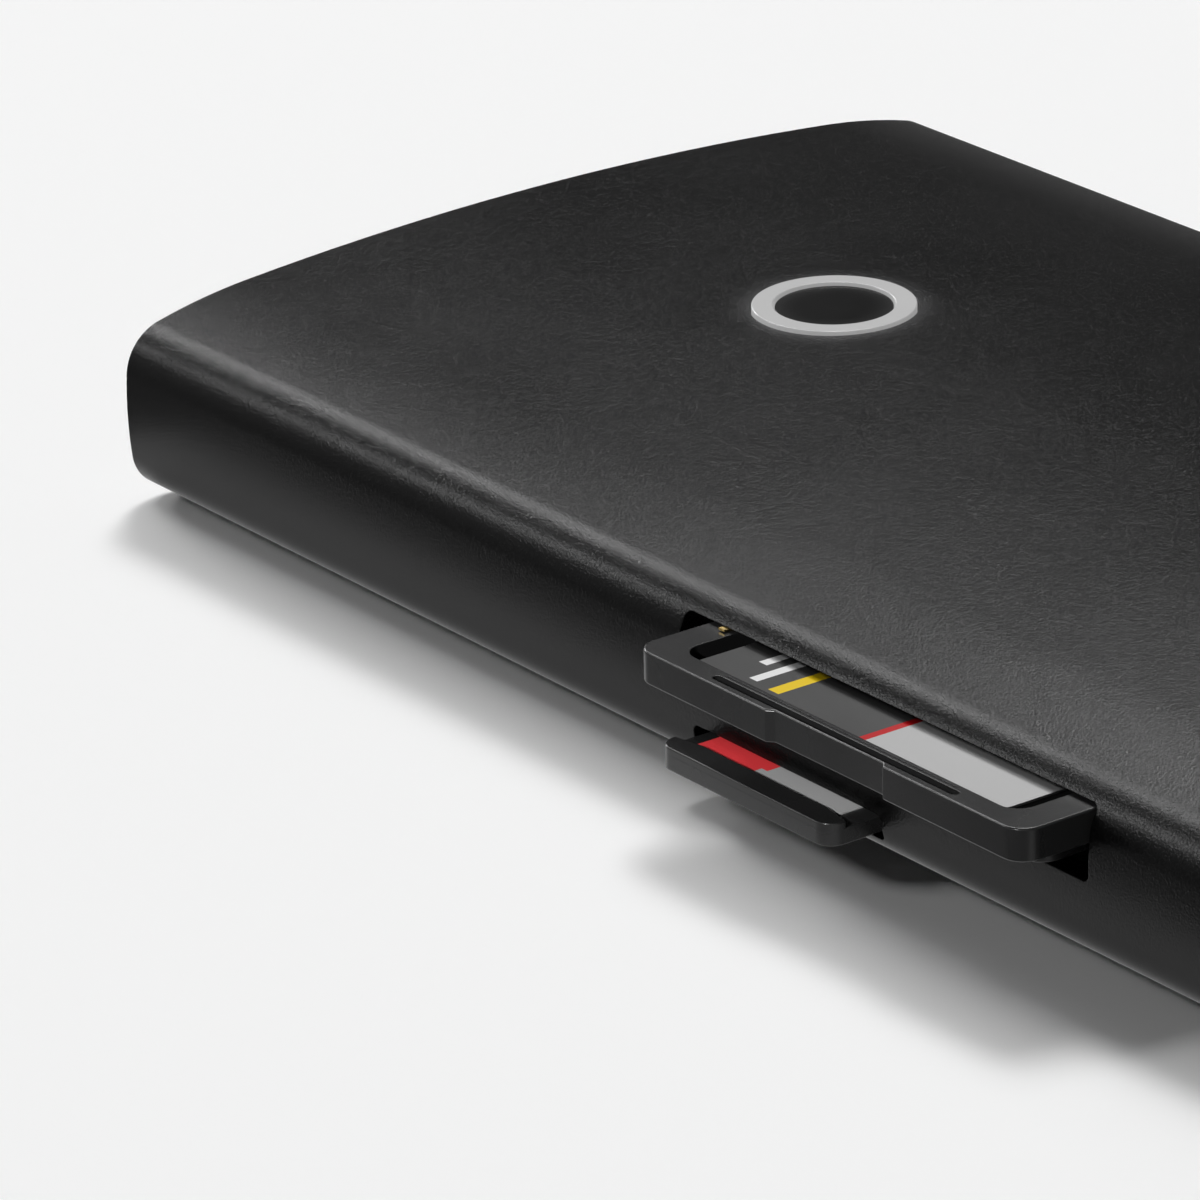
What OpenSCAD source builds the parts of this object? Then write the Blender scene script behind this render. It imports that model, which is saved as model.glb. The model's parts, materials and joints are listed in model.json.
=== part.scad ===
// Slim travel hub: a soft-edged sleeve, closed by two end caps, with two memory card slots in its near
// side, a status ring in its top and ports in its far side and ends. X runs along the hub, Y across it
// away from the card slots and Z up. The origin is the middle of the sleeve, on the surface it stands on.

/* [Body] */
// Length of the sleeve from end to end
body_length = 110; // [106:1:124]
// Width of the sleeve across the widest line of its sides
body_width = 46.1; // [45.8:0.1:46.6]
// Height of the sleeve from its underside to the crown
body_height = 9.23; // [9.2:0.01:9.3]
// Wall thickness of the top and the sides
wall = 1; // [0.9:0.05:1.05]
// Thickness of the floor between the corner rounds
floor_wall = 0.7; // [0.6:0.05:0.8]
// Radius of the gentle crown across the top
crown_radius = 180; // [160:5:200]
// Radius that leads the crown into the shoulders
blend_radius = 30; // [28:1:34]
// Radius of the shoulders
shoulder_radius = 2.4; // [2.3:0.05:2.5]
// Radius of the slightly bulged sides
side_radius = 20; // [18:1:24]
// Radius of the bottom corners
corner_radius = 1.9; // [1.8:0.05:2]
// Height of the widest line of the sides above the underside
bulge_height = 4.1; // [4:0.05:4.2]
// Depth of the cap faces inside the ends of the sleeve
cap_inset = 0.25; // [0.1:0.05:0.5]
// Thickness of the cap plates
cap_thickness = 1.6; // [1.4:0.1:2]

/* [Status ring] */
// Distance from the left end to the centre of the ring
ring_from_end = 21.4; // [20:0.1:24]
// Outer diameter of the lit ring
ring_diameter = 7.4; // [7:0.1:8]
// Inner diameter of the lit ring
ring_bore = 5.35; // [5:0.05:5.6]
// Rise of the ring above the crown
ring_rise = 0.18; // [0.1:0.02:0.3]

/* [Card slots] */
// Middle of the large card slot along the hub
sd_slot_x = -2.07; // [-2.08:0.01:-2.05]
// Width of the large card slot
sd_slot_width = 25.46; // [25.46:0.02:25.8]
// Height of the large card slot
sd_slot_height = 3.07; // [3.07:0.01:3.2]
// Height of the large slot's lower edge above the underside
sd_slot_lift = 3.71; // [3.7:0.01:3.8]
// Middle of the small card slot along the hub
microsd_slot_x = -8; // [-8.1:0.1:-7.9]
// Width of the small card slot
microsd_slot_width = 12; // [12:0.1:12.4]
// Height of the small card slot
microsd_slot_height = 1.15; // [1.15:0.05:1.3]
// Height of the small slot's lower edge above the underside
microsd_slot_lift = 1; // [0.95:0.05:1]

/* [Cards] */
// Middle of the large card along the hub
sd_card_x = -1.43; // [-1.5:0.01:-1.42]
// How far the large card stands out from the widest line of the side
sd_card_reach = 3.25; // [2:0.05:4]
// Height of the large card's face above the underside
sd_card_top = 6.65; // [6.6:0.01:6.66]
// Middle of the small card along the hub
microsd_card_x = -8.19; // [-8.3:0.01:-7.9]
// How far the small card stands out from the widest line of the side
microsd_card_reach = 1.98; // [1.5:0.01:2.5]
// Height of the small card's ridge above the underside
microsd_card_top = 2.05; // [2.02:0.01:2.08]

/* [Ports] */
// Middles of the two wide serial ports in the far side
usb_a_x = [-30, -10]; // [-32:1:-9]
// Middle of the video port in the far side
hdmi_x = 14; // [12:1:16]
// Middle of the small data port in the far side
data_port_x = 34; // [32:1:38]
// Depth of the wide serial ports
usb_a_depth = 13.2; // [12:0.1:13.2]
// Depth of the video port
hdmi_depth = 11.5; // [10:0.5:12]
// Depth of the small ports
usb_c_depth = 8; // [7.3:0.1:9]

/* [Feet] */
// Length of the two rubber feet
foot_length = 92; // [60:1:98]
// Width of the rubber feet
foot_width = 5; // [4:0.5:7]
// Thickness of the rubber feet
foot_thickness = 0.6; // [0.55:0.05:0.7]
// Rise of the underside above the surface that the feet stand on
foot_rise = 0.4; // [0.35:0.05:0.4]
// Distance from the middle line to the middle of each foot
foot_offset = 14; // [10:0.5:16]

/* [Board] */
// Thickness of the circuit board
board_thickness = 1; // [0.9:0.05:1]
// Height of the board's lower face above the underside
board_lift = 2.55; // [2.5:0.01:2.6]

/* [Hidden] */
cut = 0.01;

// Colours
body_black = "#2f2f30";
part_black = "#1d1d1e";
steel = "#b9bbbd";
gold = "#d9b24a";
solder_mask = "#16351f";
rubber_grey = "#262627";
label_grey = "#5b5b5b";
label_mid = "#8c8c8c";
label_pale = "#bcbcbc";
label_red = "#c8242b";

// Turn of the section, in degrees from straight up, where the shoulder meets the side
shoulder_turn = 86;
crown_steps = 7;
blend_steps = 5;
shoulder_steps = 14;
side_steps = 4;
corner_steps = 10;

// Levels and places worked out from the body
underside = foot_rise;
crown_top = underside + body_height;
ceiling = crown_top - wall;
floor_top = underside + floor_wall;
half_width = body_width / 2;
end_x = body_length / 2;
cap_outer_x = end_x - cap_inset;
cap_inner_x = cap_outer_x - cap_thickness;
board_bottom = underside + board_lift;
board_top = board_bottom + board_thickness;

// Centres of the arcs that make up the section, as [across, up]
side_centre = [half_width - side_radius, underside + bulge_height];
shoulder_centre = spoke(side_centre, side_radius - shoulder_radius, shoulder_turn);
crown_centre = [0, crown_top - crown_radius];
blend_centre = crossing(crown_centre, crown_radius - blend_radius,
                        shoulder_centre, blend_radius - shoulder_radius);
corner_rise = side_centre[1] - (underside + corner_radius);
corner_span = sqrt(pow(side_radius - corner_radius, 2) - corner_rise * corner_rise);
corner_centre = [side_centre[0] + corner_span, underside + corner_radius];
crown_turn = heading(crown_centre, blend_centre);
blend_turn = heading(blend_centre, shoulder_centre);
side_turn = heading(side_centre, corner_centre);

// Point at a distance from a centre, at a turn from straight up towards +Y
function spoke(centre, radius, turn) = centre + radius * [sin(turn), cos(turn)];
// Turn from straight up of the line that leads from one point to another
function heading(from, to) = atan2(to[0] - from[0], to[1] - from[1]);
// Points along an arc, without its last one
function arc(centre, radius, first, last, steps) =
    [for (i = [0:steps - 1]) spoke(centre, radius, first + (last - first) * i / steps)];
// Meeting point of two circles, on the left of the line between their centres
function crossing(a, a_radius, b, b_radius) =
    let (gap = norm(b - a),
         along = (gap * gap + a_radius * a_radius - b_radius * b_radius) / (2 * gap),
         unit = (b - a) / gap)
    a + along * unit + sqrt(a_radius * a_radius - along * along) * [-unit[1], unit[0]];
// Right half of the section, from the crown round to the flat underside, moved in by an inset
function half_section(inset) = concat(
    arc(crown_centre, crown_radius - inset, 0, crown_turn, crown_steps),
    arc(blend_centre, blend_radius - inset, crown_turn, blend_turn, blend_steps),
    arc(shoulder_centre, shoulder_radius - inset, blend_turn, shoulder_turn, shoulder_steps),
    arc(side_centre, side_radius - inset, shoulder_turn, side_turn, side_steps),
    arc(corner_centre, corner_radius - inset, side_turn, 180, corner_steps),
    [spoke(corner_centre, corner_radius - inset, 180)]);

module section(inset) {
    right = half_section(inset);
    left = [for (i = [len(right) - 1:-1:1]) [-right[i][0], right[i][1]]];
    polygon(concat(right, left));
}

// Inside of the sleeve: the section moved in by the wall, with a shallow pocket in the floor
module cavity() {
    section(wall);
    translate([-floor_pocket_half, floor_top]) square([2 * floor_pocket_half, wall]);
}

// Flat shapes
module rounded(width, height, radius) {
    square([width - 2 * radius, height], center = true);
    square([width, height - 2 * radius], center = true);
    for (x = [-1, 1], y = [-1, 1])
        translate([x * (width / 2 - radius), y * (height / 2 - radius)]) circle(radius, $fn = 32);
}

module pill(width, height) {
    square([width - height, height], center = true);
    for (x = [-1, 1]) translate([x * (width - height) / 2, 0]) circle(d = height, $fn = 32);
}

// Solids made from flat shapes: along X, along Y and up Z
module along_x(low, high) translate([low, 0, 0]) rotate([90, 0, 90]) linear_extrude(high - low) children();
module along_y(low, high) translate([0, high, 0]) rotate([90, 0, 0]) linear_extrude(high - low) children();
module up_z(low, high) translate([0, 0, low]) linear_extrude(high - low) children();
module block(low, high) translate(low) cube(high - low);

/* Housing */
rail_depth = 1.4;
rail_height = 0.6;
rail_root = 0.3;
rail_end = cap_inner_x - 2.7;
near_rails = [[-rail_end, -17], [14, rail_end]];
far_rails = [[-rail_end, -38.5], [40.5, rail_end]];
slot_corner = 0.3;
slot_back = 18.9;
floor_pocket_half = 20.5;

// Guide rails that hold the board's long edges, one above and one below it
module rail_pair(low, high, side) {
    outer = half_width - wall + rail_root;
    inner = half_width - wall - rail_depth;
    for (z = [board_bottom - rail_height, board_top])
        block([low, side > 0 ? inner : -outer, z], [high, side > 0 ? outer : -inner, z + rail_height]);
}

module card_window(x, width, lift, height)
    translate([x, 0, underside + lift + height / 2])
        along_y(-half_width - 1, -slot_back) rounded(width, height, slot_corner);

module housing_sleeve() color(body_black) {
    difference() {
        along_x(-end_x, end_x) difference() {
            section(0);
            cavity();
        }
        card_window(sd_slot_x, sd_slot_width, sd_slot_lift, sd_slot_height);
        card_window(microsd_slot_x, microsd_slot_width, microsd_slot_lift, microsd_slot_height);
        for (x = usb_a_x) usb_a_window(x);
        hdmi_window();
        data_port_window();
        translate([ring_x, 0, ceiling - 1]) cylinder(d = ring_diameter, h = 4, $fn = 64);
        for (side = [-1, 1]) foot(side);
    }
    for (r = near_rails) rail_pair(r[0], r[1], -1);
    for (r = far_rails) rail_pair(r[0], r[1], 1);
}

// End caps, drawn for the right end. Two lips grip the inside of the sleeve above and below the board.
// The bore and the shallow rebate round it are given as [growth over the port, reach].
lip_reach = 2.5;
lip_thickness = 0.9;
lip_low = 2.2;
lip_high = 4.9;
cap_bore = [0.2, 1];
cap_rebate = [1.4, 0.3];

module end_cap() {
    difference() {
        union() {
            along_x(cap_inner_x, cap_outer_x) cavity();
            along_x(cap_inner_x - lip_reach, cap_inner_x) difference() {
                cavity();
                section(wall + lip_thickness);
                translate([-half_width, lip_low]) square([body_width, lip_high - lip_low]);
            }
        }
        cap_hole(cap_inner_x - cap_bore[1], cap_bore[0]);
        cap_hole(cap_outer_x - cap_rebate[1], cap_rebate[0]);
    }
}

module cap_hole(from, growth) translate([0, 0, usb_c_z])
    along_x(from, end_x) pill(usb_c_width + growth, usb_c_height + growth);

module end_cap_right() color(part_black) end_cap();
module end_cap_left() color(part_black) mirror([1, 0, 0]) end_cap();

module foot(side) translate([0, side * foot_offset, 0])
    up_z(0, foot_thickness) pill(foot_length, foot_width);
module foot_near() color(rubber_grey) foot(-1);
module foot_far() color(rubber_grey) foot(1);

/* Status ring */
ring_x = -end_x + ring_from_end;
ring_bevel = 0.12;
ring_flange = 9;
ring_flange_thickness = 0.5;
flange_gap = 0.08;
ring_foot = board_top + 0.55;
lamp_size = [1, 0.6, 0.45];
lamp_count = 4;

// Light pipe: a bevelled rim above the crown, a flange under the top wall and a sleeve down to the lamps
module light_ring() color("#f2f2ee") {
    outer = ring_diameter / 2;
    inner = ring_bore / 2;
    top = crown_top + ring_rise;
    flange_top = ceiling - flange_gap;
    translate([ring_x, 0, 0]) rotate_extrude($fn = 96) polygon([
        [inner, ring_foot], [outer, ring_foot],
        [outer, flange_top - ring_flange_thickness], [ring_flange / 2, flange_top - ring_flange_thickness],
        [ring_flange / 2, flange_top], [outer, flange_top],
        [outer, top - ring_bevel], [outer - ring_bevel, top],
        [inner + ring_bevel, top], [inner, top - ring_bevel]
    ]);
}

// Dark plug that fills the ring: a disc with a short skirt
module ring_centre() color(part_black) {
    radius = ring_bore / 2;
    disc_thickness = 0.8;
    disc_drop = 0.05;
    skirt = 0.5;
    skirt_end = ring_foot + 1;
    translate([ring_x, 0, 0]) rotate_extrude($fn = 64) polygon([
        [0, crown_top - disc_thickness], [radius - skirt, crown_top - disc_thickness],
        [radius - skirt, skirt_end], [radius, skirt_end],
        [radius, crown_top - disc_drop], [0, crown_top - disc_drop]
    ]);
}

module ring_lamps() color("#f4f1d8")
    for (i = [0:lamp_count - 1])
        translate([ring_x, 0, board_top]) rotate([0, 0, 45 + 360 * i / lamp_count])
            translate([(ring_diameter + ring_bore) / 4, 0, lamp_size[2] / 2]) cube(lamp_size, center = true);

/* Circuit board and its parts */
board_half_length = cap_inner_x - 0.55;
board_half_width = half_width - wall - 0.45;
board_corner = 0.5;
port_gap = 0.1;

module main_board() color(solder_mask) difference() {
    up_z(board_bottom, board_top) rounded(2 * board_half_length, 2 * board_half_width, board_corner);
    for (x = usb_a_x) port_cutout(x, usb_a_width, usb_a_depth);
    port_cutout(hdmi_x, hdmi_width, hdmi_depth);
}

// Opening in the board's far edge for a port sunk into it
module port_cutout(x, width, depth)
    block([x - width / 2 - port_gap, side_port_front - depth - port_gap, 0],
          [x + width / 2 + port_gap, half_width, crown_top]);

// Places on the board, as [along the hub, across it]
hub_chip_at = [28, -4];
video_chip_at = [19, 4];
power_chip_at = [-24.5, -12];
coil_at = [-41, 11];
crystal_at = [38, -12];

module on_board(place) translate([place[0], place[1], board_top]) children();

// Flat square chip with a round dimple that marks its first pin
module chip(width, height) difference() {
    dimple = 0.7;
    dimple_depth = 0.1;
    from_edge = 1;
    up_z(0, height) rounded(width, width, 0.2);
    translate([from_edge - width / 2, width / 2 - from_edge, height - dimple_depth])
        cylinder(d = dimple, h = 1, $fn = 24);
}

module hub_chip() color(part_black) on_board(hub_chip_at) chip(9, 0.9);
module video_chip() color(part_black) on_board(video_chip_at) chip(6, 0.85);
module power_chip() color(part_black) on_board(power_chip_at) chip(5, 0.8);

// Shielded power coil: a low block with rounded corners and a ring-shaped groove in its top
module power_coil() color("#6d6a66") on_board(coil_at) difference() {
    width = 4.4;
    height = 2;
    groove_depth = 0.2;
    groove = [2.6, 3.8];
    up_z(0, height) rounded(width, width, 0.8);
    translate([0, 0, height - groove_depth]) difference() {
        cylinder(d = groove[1], h = 1, $fn = 40);
        cylinder(d = groove[0], h = 3, center = true, $fn = 40);
    }
}

// Clock crystal: a sheet can on a slightly wider base
module clock_crystal() color(steel) on_board(crystal_at) {
    base = [3.4, 2.7, 0.3];
    can = [3, 2.3, 0.8];
    up_z(0, base[2]) rounded(base[0], base[1], 0.2);
    up_z(base[2], can[2]) rounded(can[0], can[1], 0.4);
}

/* Card in the upper slot. Its own frame: x across, y from the outer edge inwards, z down from its face. */
sd_width = 24;
sd_length = 32;
sd_upper = 1.4;
sd_lower = 0.7;
sd_lower_width = 22.5;
sd_lower_start = 1.5;
sd_front = -half_width - sd_card_reach;
sd_top = underside + sd_card_top;
sd_corner = 1;
sd_cut = 4;
sd_recess_depth = 0.3;
sd_label_thickness = 0.1;
sd_groove_x = 0.12;
sd_groove_y = 0.565;
sd_groove_length = 15.1;
sd_groove_width = 0.39;
sd_groove_depth = 0.35;
sd_notch = [3.5, 3.2, 3.8, 0.25];
sd_lock = [22, 28];
sd_lock_depth = 0.75;
sd_pads = 9;
sd_pad_pitch = 2.5;
sd_pad_offset = 0.3;
sd_last_pad_shift = 0.8;
sd_pad_half = 0.75;
sd_pad_margin = 0.1;
sd_pad_depth = 0.3;
sd_pad_thickness = 0.1;
sd_pad_near = sd_length - 6;
sd_pad_far = sd_length - 1;

module sd_place() translate([sd_card_x, sd_front, sd_top]) children();

module card_outline(width, start, length, radius, cut_size) difference() {
    translate([0, (start + length) / 2]) rounded(width, length - start, radius);
    translate([width / 2, length]) rotate(45) square(cut_size * sqrt(2), center = true);
}

// Tray for the label: its outer edge has rounded corners, its inner end is square
module sd_label_tray() {
    half = 10.38;
    near = 1.15;
    far = 24.5;
    corner = 0.9;
    translate([0, (near + far) / 2]) rounded(2 * half, far - near, corner);
}

module sd_card() color("#3a3a3b") sd_place() difference() {
    union() {
        up_z(-sd_upper, 0) card_outline(sd_width, 0, sd_length, sd_corner, sd_cut);
        up_z(-sd_upper - sd_lower, -sd_upper + cut)
            card_outline(sd_lower_width, sd_lower_start, sd_length, sd_corner, sd_cut - 0.75);
    }
    // Label tray in the face
    up_z(-sd_recess_depth, 1) sd_label_tray();
    // Grip groove along the outer edge
    translate([sd_groove_x, sd_groove_y]) up_z(-sd_groove_depth, 1) pill(sd_groove_length, sd_groove_width);
    // Finger notch in the outer edge, with sloped sides
    up_z(-sd_upper - sd_lower, 1) polygon([
        [-sd_notch[0], -cut], [-sd_notch[1], sd_notch[3]], [sd_notch[0], sd_notch[3]], [sd_notch[2], -cut]
    ]);
    // Lock recess in the left side
    block([-sd_width / 2 - 1, sd_lock[0], -sd_upper - sd_lower],
          [-sd_width / 2 + sd_lock_depth, sd_lock[1], -sd_upper / 2]);
    // Windows over the contact pads
    for (i = [0:sd_pads - 1]) sd_pad_window(i, 0, -1, sd_pad_depth);
}

module sd_pad_window(i, margin, low, high)
    block([sd_pad_x(i) - sd_pad_half + margin, sd_pad_near + margin, -sd_upper - sd_lower + low],
          [sd_pad_x(i) + sd_pad_half - margin, sd_pad_far - margin, -sd_upper - sd_lower + high]);

// Middle of a pad across the card; the last pad sits closer to its neighbour
function sd_pad_x(i) =
    (i - (sd_pads - 1) / 2) * sd_pad_pitch + sd_pad_offset - (i == sd_pads - 1 ? sd_last_pad_shift : 0);

module sd_card_pads() color(gold) sd_place() for (i = [0:sd_pads - 1])
    sd_pad_window(i, sd_pad_margin, sd_pad_depth - sd_pad_thickness, sd_pad_depth);

// Label in fields of colour: grey, a red stripe and a pale end
module sd_card_label() sd_place() {
    floor_z = -sd_recess_depth;
    top_z = floor_z + sd_label_thickness;
    near = 1.2;
    far = 24;
    half = 9.52;
    stripe = [0.6, 1];
    corner = 0.5;
    color(label_grey) block([-half, near, floor_z], [stripe[0], far, top_z]);
    color(label_red) block([stripe[0], near, floor_z], [stripe[1], far, top_z]);
    color(label_pale) up_z(floor_z, top_z) polygon([
        [stripe[1], near], [half - corner, near], [half, near + corner], [half, far], [stripe[1], far]
    ]);
}

/* Card in the lower slot, in a frame of the same kind, with z down from the top of its ridge */
microsd_width = 11;
microsd_length = 15;
microsd_height = 1;
microsd_step = 0.3;
microsd_ridge = 1.2;
microsd_ridge_end = 0.92;
microsd_ridge_straight = 4;
microsd_corner = 0.8;
microsd_label_thickness = 0.08;
microsd_front = -half_width - microsd_card_reach;
microsd_top = underside + microsd_card_top;

module microsd_place() translate([microsd_card_x, microsd_front, microsd_top]) children();

// Plan of the small card: full width at its grip, one side stepped in past a notch
module microsd_outline() difference() {
    beyond = microsd_length + 1;
    side = microsd_width / 2;
    stepped = side - 0.7;
    notch = side - 1.3;
    translate([0, microsd_length / 2]) rounded(microsd_width, microsd_length, microsd_corner);
    polygon([
        [stepped, beyond], [stepped, 9.6], [notch, 9], [notch, 8], [stepped, 7.4],
        [side, 6.6], [side + 1, 6.6], [side + 1, beyond]
    ]);
}

module microsd_card() color("#3a3a3b") microsd_place() difference() {
    up_z(-microsd_height, 0) microsd_outline();
    up_z(-microsd_step, 1) polygon([
        [-microsd_width, microsd_length + 1], [-microsd_width, microsd_ridge_end],
        [-microsd_width / 2, microsd_ridge_end], [-microsd_ridge_straight, microsd_ridge],
        [microsd_ridge_straight, microsd_ridge], [microsd_width / 2, microsd_ridge_end],
        [microsd_width, microsd_ridge_end], [microsd_width, microsd_length + 1]
    ]);
}

module microsd_card_label() microsd_place() {
    floor_z = -microsd_step;
    top_z = floor_z + microsd_label_thickness;
    left = -4.7;
    right = 4.4;
    near = 1.3;
    far = 7.2;
    jog = [-1.08, 1.88];
    field_end = -0.73;
    // The red field steps out a little behind its near edge
    color(label_red) up_z(floor_z, top_z) polygon([
        [left, near], [jog[0], near], jog, [field_end, jog[1]], [field_end, far], [left, far]
    ]);
    color(label_mid) up_z(floor_z, top_z) polygon([
        [jog[0], near], [right, near], [right, far], [field_end, far], [field_end, jog[1]], jog
    ]);
}

/* Socket of the upper card */
sd_rest = sd_top - sd_upper - sd_lower;
sd_socket_front = -19.2;
sd_socket_back = 7.2;
sd_half = 13.5;
sd_socket_low = [sd_card_x - sd_half, sd_socket_front];
sd_socket_high = [sd_card_x + sd_half, sd_socket_back];
sd_rail_gap = 0.15;
sheet = 0.2;
ear = [1, 1.6];
ear_y = [-15, 3];
sd_cover_low = sd_top + 0.1;
contact_slot = [0.6, -2, 0.4];

// Tray that the card slides on, with side rails and a stop wall
module sd_socket_base() color(part_black) difference() {
    block([sd_socket_low[0], sd_socket_front, board_top], [sd_socket_high[0], sd_socket_back, sd_cover_low]);
    block([sd_card_x - sd_width / 2 - sd_rail_gap, sd_socket_front - 1, sd_top - sd_upper],
          [sd_card_x + sd_width / 2 + sd_rail_gap, sd_front + sd_length, crown_top]);
    block([sd_card_x - sd_lower_width / 2 - sd_rail_gap, sd_socket_front - 1, sd_rest],
          [sd_card_x + sd_lower_width / 2 + sd_rail_gap, sd_front + sd_length, crown_top]);
    for (i = [0:sd_pads - 1])
        translate([sd_card_x + sd_pad_x(i), 0, 0])
            block([-contact_slot[0], contact_slot[1], board_top - 1],
                  [contact_slot[0], sd_socket_back + 1, sd_rest + contact_slot[2]]);
}

// Folded sheet cover: a top with a pull notch in its front edge and two windows, two side flanges and
// four solder ears
module sd_socket_shell() color(steel) {
    low = sd_socket_low - [sheet, 0];
    high = sd_socket_high + [sheet, 0];
    top = sd_cover_low + sheet;
    pull_notch = [13, 9];
    window = [2.2, 6];
    difference() {
        block([low[0], low[1], board_top], [high[0], high[1], top]);
        block([low[0] + sheet, low[1] - 1, board_top - 1], [high[0] - sheet, high[1] + 1, top - sheet]);
        translate([sd_card_x, sd_socket_front, top - 1])
            up_z(0, 2) rounded(pull_notch[0], pull_notch[1], 1.5);
        for (x = [-7, 7])
            translate([sd_card_x + x, -3, top - 1]) up_z(0, 2) rounded(window[0], window[1], 0.5);
    }
    for (x = [low[0] - ear[0], high[0]], y = ear_y)
        block([x, y, board_top], [x + ear[0], y + ear[1], board_top + sheet]);
}

// Thickness of the strip that the socket contacts are bent from
strip = 0.12;

// Spring fingers under the pads, each with a tail on the board behind the socket
module sd_socket_contacts() color(gold) {
    tail = -sd_socket_back - 0.5;
    riser = -sd_socket_back + 0.4;
    contact_width = 0.8;
    for (i = [0:sd_pads - 1])
        translate([sd_card_x + sd_pad_x(i) + contact_width / 2, 0, 0]) rotate([90, 0, -90])
            linear_extrude(contact_width) polygon([
                [tail, board_top], [tail, board_top + strip], [riser, board_top + strip],
                [riser + 0.3, sd_rest - 0.3], [-4.2, sd_rest + 0.05], [-3.4, sd_rest + 0.2],
                [-2.4, sd_rest - 0.05], [-2.5, sd_rest - 0.05 - strip], [-3.4, sd_rest + 0.2 - strip],
                [-4.2, sd_rest + 0.05 - strip], [riser + 0.3 + strip, sd_rest - 0.3 - strip],
                [riser + strip, board_top]
            ]);
}

// Gold finger from the cover's front edge out through the slot, bearing on the card's face
spring_x = -12.1;
spring_width = 0.35;
spring_sheet = 0.09;
spring_bend = 19.9;
spring_curl = 22.3;
spring_tip = 22.75;
spring_lift = 0.06;

module ground_spring() color(gold) translate([spring_x, 0, 0]) rotate([90, 0, -90])
    linear_extrude(spring_width) polygon([
        [-sd_socket_front, sd_cover_low], [-sd_socket_front, sd_cover_low + spring_sheet],
        [spring_bend, sd_top + spring_sheet], [spring_curl, sd_top + spring_sheet],
        [spring_tip, sd_top + spring_sheet + spring_lift], [spring_tip, sd_top + spring_lift],
        [spring_curl, sd_top], [spring_bend, sd_top]
    ]);

/* Socket of the lower card, hung under the board */
microsd_rest = microsd_top - microsd_height;
microsd_socket_front = -20.4;
microsd_socket_back = -8.4;
microsd_half = 6.3;
microsd_sheet = 0.15;
microsd_cover_low = microsd_top + 0.1;
microsd_cover_top = microsd_cover_low + microsd_sheet;
microsd_side_gap = 0.1;
microsd_contacts = 8;
microsd_pitch = 1.1;
microsd_first_contact = -4.1;
microsd_strip_width = 0.5;
microsd_ear = [0.8, 1.2];
flange_lift = 0.4;

module microsd_socket_base() color(part_black) difference() {
    block([microsd_card_x - microsd_half, microsd_socket_front, floor_top],
          [microsd_card_x + microsd_half, microsd_socket_back, microsd_cover_low]);
    block([microsd_card_x - microsd_width / 2 - microsd_side_gap, microsd_socket_front - 1, microsd_rest],
          [microsd_card_x + microsd_width / 2 + microsd_side_gap, microsd_front + microsd_length,
           board_bottom]);
    for (i = [0:microsd_contacts - 1]) translate([microsd_contact_x(i), 0, 0])
        block([-0.3, -16, floor_top - 1], [0.3, microsd_socket_back + 1, microsd_rest]);
}

function microsd_contact_x(i) = microsd_card_x + microsd_first_contact + microsd_pitch * i;

// Folded sheet cover with two side flanges, and four ears that hang it from the board
module microsd_socket_shell() color(steel) {
    outer = microsd_half + microsd_sheet;
    difference() {
        block([microsd_card_x - outer, microsd_socket_front, floor_top + flange_lift],
              [microsd_card_x + outer, microsd_socket_back, microsd_cover_top]);
        block([microsd_card_x - microsd_half, microsd_socket_front - 1, 0],
              [microsd_card_x + microsd_half, microsd_socket_back + 1, microsd_cover_low]);
    }
    for (x = [-outer, outer - microsd_ear[0]],
         y = [microsd_socket_front, microsd_socket_back - microsd_ear[1]])
        translate([microsd_card_x + x, y, 0])
            block([0, 0, microsd_cover_top], [microsd_ear[0], microsd_ear[1], board_bottom]);
}

// Spring strips under the card, each with a tail that rises to the board behind the socket
module microsd_socket_contacts() color(gold) {
    riser = -microsd_socket_back - 0.5;
    tail = riser - 0.9;
    tip = 16;
    bend = 13;
    for (i = [0:microsd_contacts - 1])
        translate([microsd_contact_x(i) + microsd_strip_width / 2, 0, 0]) rotate([90, 0, -90])
            linear_extrude(microsd_strip_width) polygon([
                [tip, microsd_rest - strip], [tip, microsd_rest], [bend, microsd_rest],
                [riser + strip, microsd_rest - 0.1], [riser + strip, board_bottom],
                [tail, board_bottom], [tail, board_bottom - strip], [riser, board_bottom - strip],
                [riser, microsd_rest - 0.1 - strip], [bend, microsd_rest - strip]
            ]);
}

/* Ports. Each is drawn with its mouth at y = 0, facing +Y, and its middle at z = 0. */
side_port_front = 21;
side_port_z = 4.2;
usb_a_width = 13.2;
usb_a_height = 5.6;
usb_a_corner = 0.6;
usb_a_bore_corner = 0.3;
usb_a_block = 2.4;
usb_a_tongue_half = 5.55;
usb_a_tongue_low = 0.15;
shell_sheet = 0.3;
window_reach = 0.4;
hdmi_width = 15;
hdmi_height = 5.5;
hdmi_inset = 0.4;
hdmi_block = 2;
hdmi_tongue_span = [0.15, 1.35];
fine_strip = 0.08;
usb_c_width = 8.94;
usb_c_height = 3.16;
usb_c_block = 1.8;
usb_c_tongue_height = 0.7;
usb_c_pitch = 0.5;
usb_c_contact = [0.26, 0.06];
usb_c_z = board_top + usb_c_height / 2;
data_port_front = 20.6;
data_window_growth = 0.3;
end_port_front = cap_outer_x - 0.35;

module usb_a_window(x) translate([x, 0, side_port_z])
    along_y(side_port_front - window_reach, half_width + 1) rounded(usb_a_width, usb_a_height, usb_a_corner);

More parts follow.
